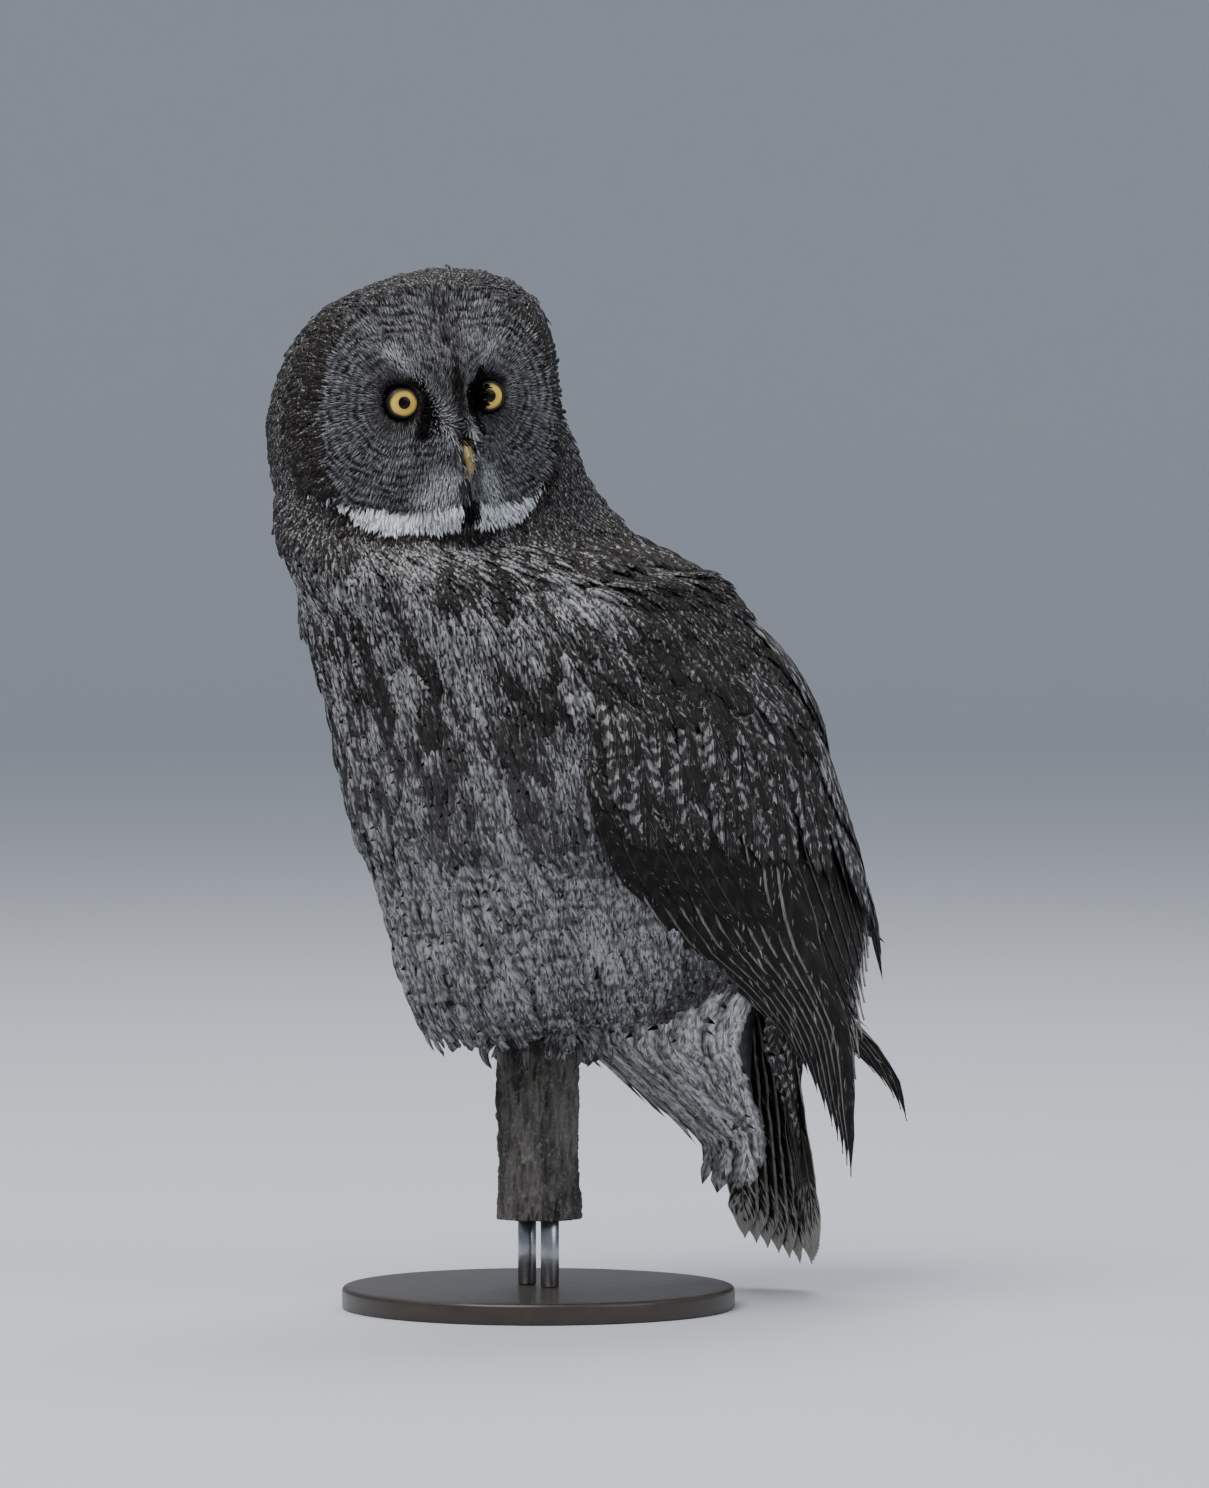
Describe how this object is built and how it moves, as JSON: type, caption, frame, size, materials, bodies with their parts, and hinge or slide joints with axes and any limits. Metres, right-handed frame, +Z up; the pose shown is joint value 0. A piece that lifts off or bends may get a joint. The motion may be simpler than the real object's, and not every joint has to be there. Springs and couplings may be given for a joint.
{
  "type": "great grey owl",
  "caption": "Life-size great grey owl, still, gripping a short cut length of snag on a plain round display stand, its head turned over its left shoulder.",
  "frame": {"origin": "centre of the stand base's underside, on the floor below the perch", "axes": "+Z up; the breast faces -Y, so the tail is at +Y; the owl's left wing is on the +X side, and its head is turned to look towards +X"},
  "size_m": [0.3114, 0.4936, 0.6794],
  "materials": {
    "plumage": "soft matte feathers",
    "wing_feathers": "matte feathers with a faint sheen",
    "tail_feathers": "matte feathers with a faint sheen",
    "foot_feathers": "soft matte feathers",
    "eye": "wet gloss",
    "bill": "satin horn",
    "claw": "polished horn",
    "bark": "rough weathered bark",
    "rod": "brushed",
    "base": "dark satin"
  },
  "bodies": {
    "root": {"head": "plumage", "neck": "plumage", "torso": "plumage", "eye_left": "eye", "eye_right": "eye", "bill_upper": "bill", "bill_lower": "bill", "wing_left": "wing_feathers", "wing_right": "wing_feathers", "tail": "tail_feathers", "leg_left": "plumage", "leg_right": "plumage", "foot_left": "foot_feathers", "foot_right": "foot_feathers", "claw_left_1": "claw", "claw_left_2": "claw", "claw_left_3": "claw", "claw_left_4": "claw", "claw_right_1": "claw", "claw_right_2": "claw", "claw_right_3": "claw", "claw_right_4": "claw", "perch": "bark", "stand_rod_1": "rod", "stand_rod_2": "rod", "stand_base": "base"}
  },
  "joints": []
}
